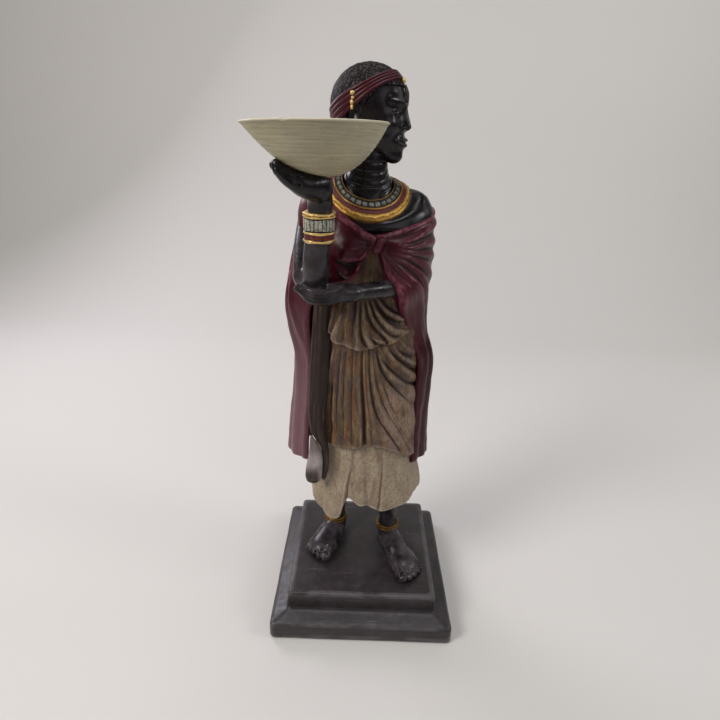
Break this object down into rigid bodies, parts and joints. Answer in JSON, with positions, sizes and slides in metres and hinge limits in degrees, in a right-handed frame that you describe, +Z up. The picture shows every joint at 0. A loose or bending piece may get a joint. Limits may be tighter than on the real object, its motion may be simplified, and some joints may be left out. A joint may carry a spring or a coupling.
{
  "type": "woman with bowl figurine",
  "caption": "Cast resin figurine of a standing woman in a wrapped dress and knotted cape, holding up a shallow bowl, on a stepped square plinth.",
  "frame": {"origin": "centre of the plinth's underside", "axes": "+Z up, front towards -Y, +X towards the woman's left"},
  "size_m": [0.167, 0.188, 0.4562],
  "materials": {
    "painted_figure": "painted cast resin, satin",
    "painted_bowl": "painted cast resin, matt cream with a thin brown wash",
    "painted_plinth": "painted cast resin, satin charcoal with worn edges"
  },
  "bodies": {
    "root": {"woman": "painted_figure", "bowl": "painted_bowl", "plinth": "painted_plinth"}
  },
  "joints": []
}
